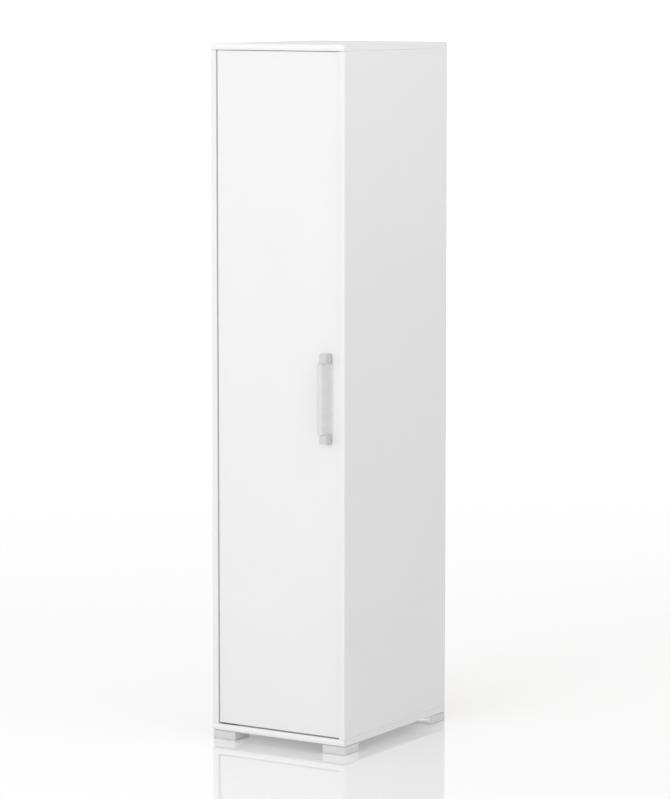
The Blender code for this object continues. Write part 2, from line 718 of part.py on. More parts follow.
def grip_outline(z):
    """Outline of the grip from above: a foot on the door, a leaning wall and a lip curled to the left."""
    lip = (-LIP_OFFSET, LIP_REACH)
    flare_out = SEAT + GRIP_EDGE + GRIP_FLARE
    across = LIP_RADIUS + GRIP_FLARE - (flare_out - LIP_REACH) * sin(GRIP_LEAN)
    flare = (across / cos(GRIP_LEAN) - LIP_OFFSET, flare_out)
    towards_lip = GRIP_LEAN - pi
    foot_end = asin((GRIP_EDGE + GRIP_FLARE) / (GRIP_FLARE + GRIP_WALL)) - pi
    lip_end = pi / 2 + LIP_CURL
    inner_radius = LIP_RADIUS - GRIP_WALL
    end_radius = LIP_RADIUS - GRIP_WALL / 2
    end_middle = (lip[0] + end_radius * cos(lip_end), lip[1] + end_radius * sin(lip_end))

    outline = [(flare[0], SEAT)]
    outline += arc(flare, GRIP_FLARE, -pi / 2, towards_lip, FLARE_STEPS)
    outline += arc(lip, LIP_RADIUS, GRIP_LEAN, lip_end, LIP_STEPS)
    outline += arc(end_middle, GRIP_WALL / 2, lip_end, lip_end + pi, FLARE_STEPS)[1:-1]
    outline += arc(lip, inner_radius, lip_end, GRIP_LEAN, LIP_STEPS)
    outline += arc(flare, GRIP_FLARE + GRIP_WALL, towards_lip, foot_end, FLARE_STEPS)
    return on_handle(outline, z)


def wall_point(along, inwards):
    """A point in the grip's wall, from the lip towards the door and in from the wall's outer face."""
    out = LIP_RADIUS - inwards
    right = out * cos(GRIP_LEAN) + along * sin(GRIP_LEAN) - LIP_OFFSET
    return right, LIP_REACH + out * sin(GRIP_LEAN) - along * cos(GRIP_LEAN)


def tenon(bm, z, way, clearance):
    """The tongue at an end of the grip's wall, or the mortise for it."""
    near, far = TENON_START - clearance, TENON_START + TENON_WIDTH + clearance
    half = TENON_BOARD / 2 + clearance
    outer, inner = GRIP_WALL / 2 - half, GRIP_WALL / 2 + half
    corners = [(near, outer), (far, outer), (far, inner), (near, inner)]
    points = [wall_point(*corner) for corner in corners]
    add_prism(bm, on_handle(points, z - way * OVERCUT), (0, 0, way * (OVERCUT + TENON_LENGTH + clearance)))


def make_handle(body):
    """Two posts screwed on through the door, and the grip held between them."""
    for name, z in post_heights():
        way = 1 if z > DOOR_MIDDLE else -1
        half_x, half_z = POST_WIDTH / 2, POST_HEIGHT / 2
        foot, front = DOOR_FACE - SEAT, DOOR_FACE - POST_REACH
        bm = bmesh.new()
        add_box(bm, (HANDLE_X - half_x, foot, z - half_z), (HANDLE_X + half_x, front, z + half_z))
        round_edges(bm, uprights_at(bm, front), POST_CORNER, steps=4)
        round_edges(bm, sharp_edges(bm), POST_ROUNDING)
        post = add_piece(f"handle_post_{name}", bm, "silver_metal", (HANDLE_X, foot, z), body, smooth=True)
        dimple = bmesh.new()
        slope = DIMPLE_RADIUS / DIMPLE_DEPTH
        proud, bottom = (HANDLE_X, front - OVERCUT, z), (HANDLE_X, front + DIMPLE_DEPTH, z)
        add_rod(dimple, proud, bottom, DIMPLE_RADIUS + OVERCUT * slope / 2, ROUND_SIDES, DIMPLE_RADIUS / 2)
        shape(post, "dimple", dimple)
        mortise = bmesh.new()
        tenon(mortise, z - way * half_z, way, SEAT)
        shape(post, "mortise", mortise)
        hole = bmesh.new()
        screw_hole(hole, (HANDLE_X, foot, z), (0, -1, 0), SCREW_BITE)
        shape(post, "screw_hole", hole)
        start = (HANDLE_X, DOOR_BACK + SEAT + SCREW_HEAD, z)
        screw(f"handle_screw_{name}", start, (0, -1, 0), DOOR_BOARD + SEAT + SCREW_BITE, body)

    bm = bmesh.new()
    add_prism(bm, grip_outline(GRIP_BOTTOM), (0, 0, GRIP_TOP - GRIP_BOTTOM))
    origin = (HANDLE_X, DOOR_FACE - POST_REACH, DOOR_MIDDLE)
    grip = add_piece("handle_grip", bm, "silver_metal", origin, body, smooth=True)
    tongues = bmesh.new()
    tenon(tongues, GRIP_TOP, 1, 0)
    tenon(tongues, GRIP_BOTTOM, -1, 0)
    shape(grip, "tongues", tongues, "UNION")


def catch_screw_heights():
    return (DOOR_MIDDLE - CATCH_SCREW_SPACING / 2, DOOR_MIDDLE + CATCH_SCREW_SPACING / 2)


def make_catch(carcass, door):
    """The magnetic catch on the right side panel, and its strike plate on the door."""
    rear = CATCH_FRONT + CATCH_DEEP
    bm = bmesh.new()
    low = (CATCH_X - CATCH_WIDE / 2, CATCH_FRONT, DOOR_MIDDLE - CATCH_TALL / 2)
    add_box(bm, low, (CATCH_X + CATCH_WIDE / 2, rear, DOOR_MIDDLE + CATCH_TALL / 2))
    round_edges(bm, bm.edges[:], EDGE_ROUNDING)
    origin = (INNER, CATCH_FRONT, DOOR_MIDDLE)
    housing = add_piece("catch_housing", bm, "white_plastic", origin, carcass)
    half_x, half_z = MAGNET_WIDE / 2, MAGNET_TALL / 2
    pocket = bmesh.new()
    low = (CATCH_X - half_x - SEAT, CATCH_FRONT - OVERCUT, DOOR_MIDDLE - half_z - SEAT)
    high = (CATCH_X + half_x + SEAT, CATCH_FRONT + MAGNET_DEEP + SEAT, DOOR_MIDDLE + half_z + SEAT)
    add_box(pocket, low, high)
    shape(housing, "magnet_pocket", pocket)
    bm = bmesh.new()
    low = (CATCH_X - half_x, CATCH_FRONT, DOOR_MIDDLE - half_z)
    add_box(bm, low, (CATCH_X + half_x, CATCH_FRONT + MAGNET_DEEP, DOOR_MIDDLE + half_z))
    add_piece("catch_magnet", bm, "dark_magnet", (CATCH_X, CATCH_FRONT, DOOR_MIDDLE), carcass)

    free_side = CATCH_X - CATCH_WIDE / 2
    for name, z in zip(("lower", "upper"), catch_screw_heights()):
        seat = free_side + SCREW_HEAD
        sink = bmesh.new()
        mouth = (free_side - OVERCUT, CATCH_Y, z)
        add_rod(sink, mouth, (seat, CATCH_Y, z), SCREW_HEAD_RADIUS + SEAT, CAM_SIDES)
        shape(housing, f"screw_sink_{name}", sink)
        hole = bmesh.new()
        screw_hole(hole, (seat, CATCH_Y, z), (1, 0, 0), CATCH_WIDE)
        shape(housing, f"screw_hole_{name}", hole)
        start = (seat - SEAT - SCREW_HEAD, CATCH_Y, z)
        screw(f"catch_screw_{name}", start, (1, 0, 0), INNER - seat + SCREW_BITE, carcass)

    half_x, half_z = STRIKE_WIDE / 2, STRIKE_TALL / 2
    bm = bmesh.new()
    low = (CATCH_X - half_x, DOOR_BACK + SEAT, DOOR_MIDDLE - half_z)
    add_box(bm, low, (CATCH_X + half_x, STRIKE_FACE, DOOR_MIDDLE + half_z))
    origin = (CATCH_X, DOOR_BACK, DOOR_MIDDLE)
    strike = add_piece("catch_strike", bm, "zinc_steel", origin, door)
    slope = (STRIKE_HEAD_RADIUS - SCREW_RADIUS) / STRIKE_BOARD
    sink = bmesh.new()
    wide = (CATCH_X, STRIKE_FACE + OVERCUT, DOOR_MIDDLE)
    narrow = (CATCH_X, DOOR_BACK + SEAT - OVERCUT / 4, DOOR_MIDDLE)
    add_rod(
        sink,
        wide,
        narrow,
        STRIKE_HEAD_RADIUS + SEAT + OVERCUT * slope,
        ROUND_SIDES,
        SCREW_RADIUS + SEAT - OVERCUT / 4 * slope,
    )
    shape(strike, "countersink", sink)
    profile = [
        (0, 0),
        (0, STRIKE_HEAD_RADIUS),
        (STRIKE_BOARD, SCREW_RADIUS),
        (STRIKE_BOARD + SCREW_BITE, SCREW_RADIUS),
        (STRIKE_BOARD + SCREW_BITE, 0),
    ]
    bm = bmesh.new()
    start = (CATCH_X, STRIKE_FACE, DOOR_MIDDLE)
    add_turned(bm, start, (0, -1, 0), profile, ROUND_SIDES)
    add_piece("catch_strike_screw", bm, "zinc_steel", start, door, smooth=True)


def main():
    for old in list(bpy.data.objects):
        bpy.data.objects.remove(old)
    carcass = add_empty("carcass", (0, 0, 0))
    door = add_empty("door_axis", (PIVOT_X, PIVOT_Y, 0))
    make_side_panel("left_side_panel", -1, carcass)
    make_side_panel("right_side_panel", 1, carcass)
    make_end_panel("top_panel", 1, carcass)
    make_end_panel("bottom_panel", -1, carcass)
    make_back(carcass)
    make_shelf(carcass)
    make_rail(carcass)
    make_feet(carcass)
    for name, side, y, level in corner_joints():
        make_cam(name, side, y, level, carcass)
        make_cam_bolt(name, side, y, level, carcass)
    make_door(door)
    make_hinges(carcass, door)
    make_handle(door)
    make_catch(carcass, door)


main()
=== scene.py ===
"""Finishes, small pieces and stage of a tall one-door wardrobe.

The file is laid out as an add-on and run as a script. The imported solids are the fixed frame: the boards
keep their shapes and get finishes, while the feet, the handle's posts, the clothes rail and the screws
are modelled again. Sizes are in metres, with +X to the right, +Y to the back and +Z up.
"""

from math import pi, radians

import bmesh
import bpy
from bpy.props import FloatProperty, FloatVectorProperty, PointerProperty
from mathutils import Matrix, Vector


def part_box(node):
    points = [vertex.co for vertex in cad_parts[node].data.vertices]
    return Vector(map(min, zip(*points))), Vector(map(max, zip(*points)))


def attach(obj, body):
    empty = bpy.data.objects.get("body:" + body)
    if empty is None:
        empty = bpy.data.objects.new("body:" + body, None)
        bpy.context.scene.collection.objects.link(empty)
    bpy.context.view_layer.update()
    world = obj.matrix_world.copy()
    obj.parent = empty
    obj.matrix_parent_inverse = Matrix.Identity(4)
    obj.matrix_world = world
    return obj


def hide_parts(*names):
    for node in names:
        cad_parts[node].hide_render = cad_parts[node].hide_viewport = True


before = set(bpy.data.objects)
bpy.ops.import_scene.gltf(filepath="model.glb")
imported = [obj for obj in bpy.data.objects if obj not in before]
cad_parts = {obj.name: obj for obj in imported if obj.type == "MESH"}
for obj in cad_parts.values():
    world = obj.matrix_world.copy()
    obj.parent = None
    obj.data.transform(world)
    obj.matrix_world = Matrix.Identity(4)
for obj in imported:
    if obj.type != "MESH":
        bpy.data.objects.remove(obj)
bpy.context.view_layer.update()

bl_info = {
    "name": "One-door wardrobe",
    "version": (1, 0, 0),
    "blender": (4, 5, 0),
    "location": "3D View > Sidebar > Wardrobe",
    "description": "Dresses the packed wardrobe with finishes, small pieces and a studio stage",
    "category": "Object",
}

CARCASS = "carcass"
DOOR = "door"
SMOOTH_ANGLE = radians(40)
FLAT_ANGLE = radians(0.5)  # faces that meet at less than this are one face
FACING = 0.999  # cosine past which a face looks along a direction
TINY = 0.00002  # points nearer than this are one point
SEAT = 0.0003  # gap between two pieces that touch
FLOOR_DROP = 0.0002  # from the feet down to the floor
FLOOR_REACH = 60  # from the floor's middle to its edges
FLOOR_CELLS = 8

# Sides of round shapes
SCREW_SIDES = 32
DISH_SIDES = 40
OVAL_SIDES = 48
CORNER_STEPS = 8  # in a handle post's round corner

# Shares of a screw's head
HEAD_HEIGHT = 0.62  # of its radius
HEAD_FLAT = 0.62  # of its radius, flat on top
HEAD_BEND = 0.88  # of its radius, where the dome turns down
HEAD_DOME = 0.55  # of its height
HEAD_TURN = 0.35  # of the dome's height, where the dome turns down
SHANK_SHARE = 0.47  # the shank's radius, of the head's
SUNK_FLAT = 0.98  # of a countersunk head's radius, flat on top
SUNK_EDGE = 0.05  # of a countersunk head's height, its thin edge
SUNK_SHANK_SHARE = 0.57  # the shank's radius, of a countersunk head's
CROSS_ARM = 0.80  # of the flat top's radius
CROSS_HALF_WIDTH = 0.17  # of the flat top's radius
CROSS_TAPER = 0.75  # the recess's floor, of its mouth
HINGE_SCREW_PLACES = (0.52, 0.88)  # along a hinge plate, of its length

# Shares of the dish in a handle post: how far each ring goes down, and how much narrower it is
DISH_RINGS = ((0.10, 0.96), (0.40, 0.80), (0.30, 0.62), (0.20, 0.40))

# Bands and hairlines of the boards
NOSE_HIGHLIGHT_TONE = 1.04  # painted highlight: the lighter band round a panel's nose, as a share of the board's own tone
HAIRLINE_TONE = 0.7  # of the board's own tone
HAIRLINE_MIX = 0.25  # how much of that tone shows
HAIRLINE_HALF_WIDTH = 0.08  # of the edge band's thickness

# Scales of the finishes' patterns, per metre
FOIL_GRAIN = 1400
FOIL_CLOUD = 5
FIBRE_SCALE = 260
FLECK_SCALE = 900
MARK_SCALE = 700
SMUDGE_SCALE = 45
MOULD_GRAIN = 1100
MOULD_CLOUD = 30
FLOOR_CLOUD = 0.8

# Roughness of the metals and plastics
SILVER_ROUGHNESS = 0.46
ZINC_ROUGHNESS = 0.30
CAM_ROUGHNESS = 0.34
HINGE_SCREW_ROUGHNESS = 0.26
CHROME_ROUGHNESS = 0.08
FOOT_ROUGHNESS = 0.42
STRIP_ROUGHNESS = 0.42
SOCKET_ROUGHNESS = 0.40
CATCH_ROUGHNESS = 0.40
WASHER_ROUGHNESS = 0.50
MAGNET_ROUGHNESS = 0.55
ROUGHNESS_PLAY = 0.04  # up and down from a plastic's roughness, or by a metal's drawn marks
HANDLING = 0.06  # added to a metal's roughness where it is smudged

# Share of bare metal in a finish, and how close its marks are along X, Y and Z
BARE = 1.0
LACQUERED = 0.25
EVEN_MARKS = (1, 1, 1)
MARKS_ALONG_X = (0.05, 1, 1)
MARKS_ALONG_Z = (1, 1, 0.05)
RAIL_MARKS = (0.02, 1, 1)

# Where most of a noise pattern's values lie
NOISE_RANGE = (0.3, 0.7)

# Height, as the sine of the angle up, where the sky's brighter band at the horizon ends
HORIZON_HEIGHT = 0.45

# Place, aim, size and spread of each softbox
SOFTBOXES = {
    "key": ((-0.2, -4.2, 1.9), (0, -0.2, 1.3), (1.2, 1.2), pi),
    "upper": ((-0.4, -2.2, 3.2), (0, -0.2, 1.9), (1.2, 1.0), pi),
    "left": ((-4.5, 0, 1.2), (0, 0, 0.9), (3.0, 2.0), pi),
    "right": ((1.8, -0.5, 3.0), (0.2, 0, 1.6), (1.4, 1.4), pi),
    "foot": ((0, 0.018, 0.0255), (0, 0.018, 0), (0.42, 0.53), pi),
    "back_foot": ((0.18, 0.10, 0.015), (0.18, 0.26, 0.015), (0.07, 0.012), radians(16)),
}


# Settings that a user would change


def colour(name, description, default):
    """A colour setting."""
    return FloatVectorProperty(
        name=name, description=description, default=default, subtype="COLOR", size=3, min=0, max=1
    )


def length(name, description, default):
    """A length setting."""
    return FloatProperty(
        name=name, description=description, default=default, subtype="DISTANCE", unit="LENGTH", min=0
    )


class WardrobeFinishes(bpy.types.PropertyGroup):
    """Colours of the wardrobe's finishes."""

    board: colour("Board", "White face of the boards", (0.80, 0.80, 0.80))
    back: colour("Back", "Bare rear side of the back panel", (0.46, 0.33, 0.21))
    post: colour("Post", "Satin silver of the handle's posts", (0.64, 0.64, 0.64))
    # The grip is the posts' satin silver drawn lighter: painted light, for the light its curved face
    # catches.
    grip: colour("Grip", "Satin silver of the handle's grip", (0.72, 0.72, 0.72))
    foot: colour("Foot", "Silver-grey plastic of the feet", (0.68, 0.68, 0.68))
    zinc: colour("Zinc", "Plated steel of the fittings and screws", (0.62, 0.63, 0.64))
    chrome: colour("Chrome", "Polished clothes rail", (0.78, 0.78, 0.79))
    plastic: colour("Plastic", "White plastic of sockets, strip and catch", (0.80, 0.80, 0.79))
    washer: colour("Washer", "Dark plastic of the hinge washer", (0.05, 0.05, 0.05))
    magnet: colour("Magnet", "Dark magnet in the catch", (0.05, 0.05, 0.052))


class WardrobeSizes(bpy.types.PropertyGroup):
    """Small sizes that only the finished pieces have."""

    band: length("Edge band", "Thickness of the band glued to a board's edges", 0.001)
    foot_rounding: length("Foot rounding", "Radius of a foot's edges", 0.0012)
    foot_neck: length("Foot neck", "Height of the narrow neck on top of a foot", 0.0018)
    foot_neck_inset: length("Foot neck inset", "How far that neck stands back from the sides", 0.004)
    foot_hole: length("Foot hole", "Radius of the hole for a foot's screw", 0.0065)
    post_corner: length("Post corner", "Radius of a handle post's upright front edges", 0.003)
    post_rounding: length("Post rounding", "Radius of a handle post's other edges", 0.0008)
    dimple: length("Dimple", "Radius of the dimple in each handle post", 0.0045)
    dimple_depth: length("Dimple depth", "Depth of the dimple", 0.0006)
    socket_wall: length("Socket wall", "Wall of the clothes rail's sockets", 0.0025)
    socket_flange: length("Socket flange", "Thickness of the sockets' flanges", 0.002)
    hinge_screw: length("Hinge screw", "Head radius of the screws in the hinge plates", 0.0028)
    hinge_screw_rise: length("Hinge screw rise", "How far those heads stand out of the plates", 0.0006)
    recess: length("Recess", "Depth of the cross recess in a screw's head", 0.0011)


def watts(name, description, default):
    """A light's power setting, in watts."""
    return FloatProperty(name=name, description=description, default=default, min=0)


class WardrobeStage(bpy.types.PropertyGroup):
    """Camera, floor and lights."""

    camera_place: FloatVectorProperty(
        name="Camera place",
        description="Where the camera stands",
        default=(5.1653, -8.2352, 2.1517),
        subtype="TRANSLATION",
        unit="LENGTH",
        size=3,
    )
    camera_heading: FloatProperty(
        name="Heading", description="Turn to the left of +Y", default=radians(31.959), unit="ROTATION"
    )
    camera_pitch: FloatProperty(
        name="Pitch", description="Tilt below the horizon", default=radians(6.997), unit="ROTATION"
    )
    camera_lens: FloatProperty(
        name="Lens", description="Focal length in millimetres", default=155.0, min=1
    )
    floor: colour("Floor", "Colour of the floor", (0.95, 0.95, 0.95))
    floor_roughness: FloatProperty(
        name="Floor roughness", description="Blur of the floor's reflection", default=0.04, min=0, max=1
    )
    floor_mirror: FloatProperty(
        name="Floor mirror", description="How much of a mirror the floor is", default=0.17, min=0, max=1
    )
    sky: FloatProperty(
        name="Sky", description="Strength of the white light from above", default=0.744, min=0
    )
    horizon: FloatProperty(
        name="Horizon", description="Strength of the white light at the horizon", default=1.444, min=0
    )
    key_light: watts("Key light", "Power of the softbox in front, in watts", 40)
    upper_light: watts("Upper light", "Power of the softbox above the door, in watts", 3)
    left_light: watts("Left light", "Power of the softbox on the left, in watts", 4.6)
    right_light: watts("Right light", "Power of the softbox on the right, in watts", 9)
    foot_light: watts("Foot light", "Power of the softbox between the feet, in watts", 0.145)
    back_foot_light: watts("Back foot light", "Power of the softbox before a back foot, in watts", 0.003)


# Node trees of the finishes


class Nodes:
    """Adds nodes to one material and links them."""

    def __init__(self, name):
        self.material = bpy.data.materials.new(name)
        self.material.use_nodes = True
        self.tree = self.material.node_tree
        self.shader = self.tree.nodes["Principled BSDF"]
        self.place = self.add("ShaderNodeTexCoord").outputs["Object"]

    def add(self, kind, settings=None, **inputs):
        """A node with its settings and inputs. An input is a value or another node's output."""
        node = self.tree.nodes.new(kind)
        for key, value in (settings or {}).items():
            setattr(node, key, value)
        for key, value in inputs.items():
            self.feed(node.inputs[key], value)
        return node

    def feed(self, socket, value):
        """Links an output to a socket, or sets the socket's own value."""
        if isinstance(value, bpy.types.NodeSocket):
            self.tree.links.new(value, socket)
        else:
            socket.default_value = value

    def math(self, operation, *values):
        """The result of an operation on values or outputs."""
        node = self.add("ShaderNodeMath", {"operation": operation})
        for socket, value in zip(node.inputs, values):
            self.feed(socket, value)
        return node.outputs["Value"]

    def noise(self, scale, detail=2.0, stretch=(1, 1, 1)):
        """A noise pattern, finer along an axis where its stretch is larger."""
        place = self.add("ShaderNodeMapping", Vector=self.place, Scale=stretch).outputs["Vector"]
        node = self.add("ShaderNodeTexNoise", Vector=place, Scale=scale, Detail=detail)
        return node.outputs["Fac"]

    def spread(self, value, low, high):
        """Maps most of a noise pattern onto a range."""
        node = self.add("ShaderNodeMapRange", Value=value)
        node.inputs["From Min"].default_value = NOISE_RANGE[0]
        node.inputs["From Max"].default_value = NOISE_RANGE[1]
        node.inputs["To Min"].default_value = low
        node.inputs["To Max"].default_value = high
        return node.outputs["Result"]

    def mix(self, factor, first, second):
        """A colour between two colours or outputs."""
        node = self.add("ShaderNodeMix", {"data_type": "RGBA"})
        sockets = [s for s in node.inputs if s.enabled]
        for socket, value in zip(sockets, (factor, first, second)):
            self.feed(socket, value)
        return next(s for s in node.outputs if s.enabled)

    def mottle(self, pattern, rgb, low, high):
        """A colour that a pattern varies between two shares of it."""
        return self.mix(self.spread(pattern, 0, 1), solid(rgb, low), solid(rgb, high))

    def axes(self):
        """X, Y and Z of the place on the piece."""
        return self.add("ShaderNodeSeparateXYZ", Vector=self.place).outputs

    def bump(self, height, strength, depth):
        """Feeds a height pattern to the shader as fine relief."""
        node = self.add("ShaderNodeBump", Height=height, Strength=strength, Distance=depth)
        self.feed(self.shader.inputs["Normal"], node.outputs["Normal"])

    def shade(self, **inputs):
        """Sets or links the shader's sockets, with underscores for spaces."""
        for key, value in inputs.items():
            self.feed(self.shader.inputs[key.replace("_", " ")], value)


def solid(rgb, share=1.0):
    """A colour socket's value, darker or lighter by a share."""
    return (rgb[0] * share, rgb[1] * share, rgb[2] * share, 1.0)


def board_finish(name, rgb, low, high, flat_axes, band, nose):
    """White faced board: a fine pearl grain, a soft cloudiness and a hairline where each edge band starts.

    A board with a nose has a lighter band round it, a painted highlight along the nose.
    """
    nodes = Nodes(name)
    axes = nodes.axes()
    line = None
    for axis in flat_axes:
        near = nodes.math("SUBTRACT", axes[axis], low[axis] + band)
        far = nodes.math("SUBTRACT", high[axis] - band, axes[axis])
        gap = nodes.math("ABSOLUTE", nodes.math("MINIMUM", near, far))
        hairline = nodes.math("LESS_THAN", gap, band * HAIRLINE_HALF_WIDTH)
        line = hairline if line is None else nodes.math("MAXIMUM", line, hairline)
    cloud = nodes.noise(FOIL_CLOUD, detail=3.0)
    tone = nodes.mottle(cloud, rgb, low=0.994, high=1.006)
    # Painted highlight: the nose, ahead of the side panels, is drawn lighter than the board.
    nose_highlight_mask = nodes.math("LESS_THAN", axes["Y"], low["Y"] + nose)
    nose_highlighted = nodes.mix(nose_highlight_mask, tone, solid(rgb, NOSE_HIGHLIGHT_TONE))
    faint_line = nodes.math("MULTIPLY", line, HAIRLINE_MIX)
    lined = nodes.mix(faint_line, nose_highlighted, solid(rgb, HAIRLINE_TONE))
    grain = nodes.noise(FOIL_GRAIN, detail=1.0)
    nodes.shade(Base_Color=lined, Roughness=nodes.spread(cloud, low=0.40, high=0.48))
    nodes.bump(grain, strength=0.06, depth=0.0001)
    return nodes.material


def fibre_finish(name, inside, outside, middle):
    """Thin fibreboard, painted white on its inner side and bare behind, split at a depth in Y."""
    nodes = Nodes(name)
    rear = nodes.math("GREATER_THAN", nodes.axes()["Y"], middle)
    fibres = nodes.noise(FIBRE_SCALE, detail=4.0, stretch=(1, 1, 3))
    flecks = nodes.noise(FLECK_SCALE, stretch=(3, 1, 1))
    bare = nodes.mottle(fibres, outside, low=0.82, high=1.14)
    flecked = nodes.mix(nodes.spread(flecks, low=0, high=0.35), bare, solid(outside, share=0.6))
    nodes.shade(
        Base_Color=nodes.mix(rear, solid(inside), flecked),
        Roughness=nodes.spread(fibres, low=0.6, high=0.8),
    )
    nodes.bump(fibres, strength=0.15, depth=0.0002)
    return nodes.material


def satin_metal(name, rgb, roughness, metallic, stretch):
    """Satin metal with fine drawn marks along an axis and faint handling marks."""
    nodes = Nodes(name)
    marks = nodes.noise(MARK_SCALE, stretch=stretch)
    smudges = nodes.noise(SMUDGE_SCALE, detail=3.0)
    tone = nodes.mottle(smudges, rgb, low=0.97, high=1.03)
    drawn = nodes.spread(marks, -ROUGHNESS_PLAY, ROUGHNESS_PLAY)
    handled = nodes.spread(smudges, roughness, roughness + HANDLING)
    nodes.shade(Base_Color=tone, Metallic=metallic, Roughness=nodes.math("ADD", drawn, handled))
    nodes.bump(marks, strength=0.04, depth=0.0001)
    return nodes.material


def zinc_finish(name, finishes, roughness=ZINC_ROUGHNESS, marks=EVEN_MARKS):
    """Plated steel."""
    return satin_metal(name, finishes.zinc, roughness, BARE, marks)


def moulded_plastic(name, rgb, roughness):
    """Moulded plastic with a spark-eroded grain."""
    nodes = Nodes(name)
    grain = nodes.noise(MOULD_GRAIN)
    cloud = nodes.noise(MOULD_CLOUD)
    tone = nodes.mottle(cloud, rgb, low=0.985, high=1.015)
    sheen = nodes.spread(cloud, roughness - ROUGHNESS_PLAY, roughness + ROUGHNESS_PLAY)
    nodes.shade(Base_Color=tone, Roughness=sheen)
    nodes.bump(grain, strength=0.10, depth=0.0001)
    return nodes.material


def floor_finish(name, rgb, roughness, mirror):
    """Smooth pale floor with a soft reflection."""
    nodes = Nodes(name)
    cloud = nodes.noise(FLOOR_CLOUD)
    nodes.shade(
        Base_Color=nodes.mottle(cloud, rgb, low=0.998, high=1.0),
        Roughness=nodes.spread(cloud, roughness, roughness * 1.1),
        Metallic=mirror,
    )
    return nodes.material


# Making pieces


def make_piece(name, bm, material, body, stands_for=()):
    """Turns a mesh that is drawn in place into a finished piece that rides on a body."""
    bmesh.ops.recalc_face_normals(bm, faces=bm.faces)
    mesh = bpy.data.meshes.new(name)
    bm.to_mesh(mesh)
    bm.free()
    mesh.shade_smooth()
    mesh.set_sharp_from_angle(angle=SMOOTH_ANGLE)
    mesh.materials.append(material)
    piece = bpy.data.objects.new(name, mesh)
    bpy.context.scene.collection.objects.link(piece)
    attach(piece, body)
    if stands_for:
        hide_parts(*stands_for)
    return piece


def dress(node, material):
    """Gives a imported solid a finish."""
    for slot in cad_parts[node].material_slots:
        slot.material = material


def smooth_copy(node, material, body):
    """Stands a merged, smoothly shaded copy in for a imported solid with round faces."""
    bm = bmesh.new()
    bm.from_mesh(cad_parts[node].data)
    bmesh.ops.remove_doubles(bm, verts=bm.verts, dist=TINY)
    bmesh.ops.dissolve_limit(bm, angle_limit=FLAT_ANGLE, verts=bm.verts, edges=bm.edges)
    piece = make_piece(f"{node}_finished", bm, material, body, [node])
    weights = piece.modifiers.new("even shading", "WEIGHTED_NORMAL")
    weights.keep_sharp = True
    return piece


def named(start):
    """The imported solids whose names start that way."""
    return sorted(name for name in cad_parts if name.startswith(start))


def middle(node):
    """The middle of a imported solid's box."""
    low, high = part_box(node)
    return (low + high) / 2


def add_box(bm, low, high):
    """Adds a box between two corners."""
    size = high - low
    place = Matrix.Translation((low + high) / 2) @ Matrix.Diagonal((*size, 1.0))
    bmesh.ops.create_cube(bm, size=1.0, matrix=place)


def round_edges(bm, edges, radius, segments=3):
    """Rounds edges."""
    bmesh.ops.bevel(
        bm, geom=edges, offset=radius, segments=segments, profile=0.5, affect="EDGES", material=-1
    )


def sharp_edges(bm):
    """The edges where two faces meet at a clear angle."""
    return [edge for edge in bm.edges if edge.calc_face_angle() > SMOOTH_ANGLE]


def uprights_at(bm, y):
    """The edges that stand upright at a depth."""
    edges = []
    for edge in bm.edges:
        first, second = (vert.co for vert in edge.verts)
        upright = (first - second).xy.length < TINY
        if upright and abs(first.y - y) < TINY:
            edges.append(edge)
    return edges


def face_towards(bm, direction):
    """The largest face that looks in a direction."""
    direction = Vector(direction)
    bm.normal_update()
    facing = [face for face in bm.faces if face.normal.dot(direction) > FACING]
    return max(facing, key=lambda face: face.calc_area())


def edges_at(verts):
    """The edges at some points, each once, in the same order on every run."""
    return list(dict.fromkeys(edge for vert in verts for edge in vert.link_edges))


def ring(bm, centre, along, radius, sides):
    """Edges of a circle round a line."""
    turn = Vector(along).to_track_quat("Z", "Y").to_matrix().to_4x4()
    made = bmesh.ops.create_circle(
        bm, cap_ends=False, segments=sides, radius=radius, matrix=Matrix.Translation(centre) @ turn
    )
    return edges_at(made["verts"])


def push(bm, edges, move, share=1.0):
    """Extrudes a loop of edges, moves it and draws it together, and returns the new loop."""
    made = bmesh.ops.extrude_edge_only(bm, edges=edges)["geom"]
    verts = [item for item in made if isinstance(item, bmesh.types.BMVert)]
    centre = sum((vert.co for vert in verts), Vector()) / len(verts)
    bmesh.ops.scale(bm, vec=(share,) * 3, space=Matrix.Translation(-centre), verts=verts)
    bmesh.ops.translate(bm, vec=move, verts=verts)
    return [item for item in made if isinstance(item, bmesh.types.BMEdge)]


def open_face(bm, face, loop):
    """Cuts a face open along a loop of edges that lies in it."""
    rim = list(face.edges)
    bmesh.ops.delete(bm, geom=[face], context="FACES_ONLY")
    bmesh.ops.triangle_fill(bm, use_beauty=True, use_dissolve=False, edges=rim + loop)


def close_loop(bm, loop):
    """Fills a loop of edges with one face."""
    bmesh.ops.edgeloop_fill(bm, edges=loop)


def cross_loop(bm, arm, half_width):
    """Edges of a cross round the origin, in the plane z = 0."""
    quarter = [(arm, -half_width), (arm, half_width), (half_width, half_width)]
    verts = []
    for turn in range(4):
        spun = Matrix.Rotation(turn * pi / 2, 2)
        verts += [bm.verts.new((*(spun @ Vector(point)), 0)) for point in quarter]
    return [bm.edges.new(pair) for pair in zip(verts, verts[1:] + verts[:1])]


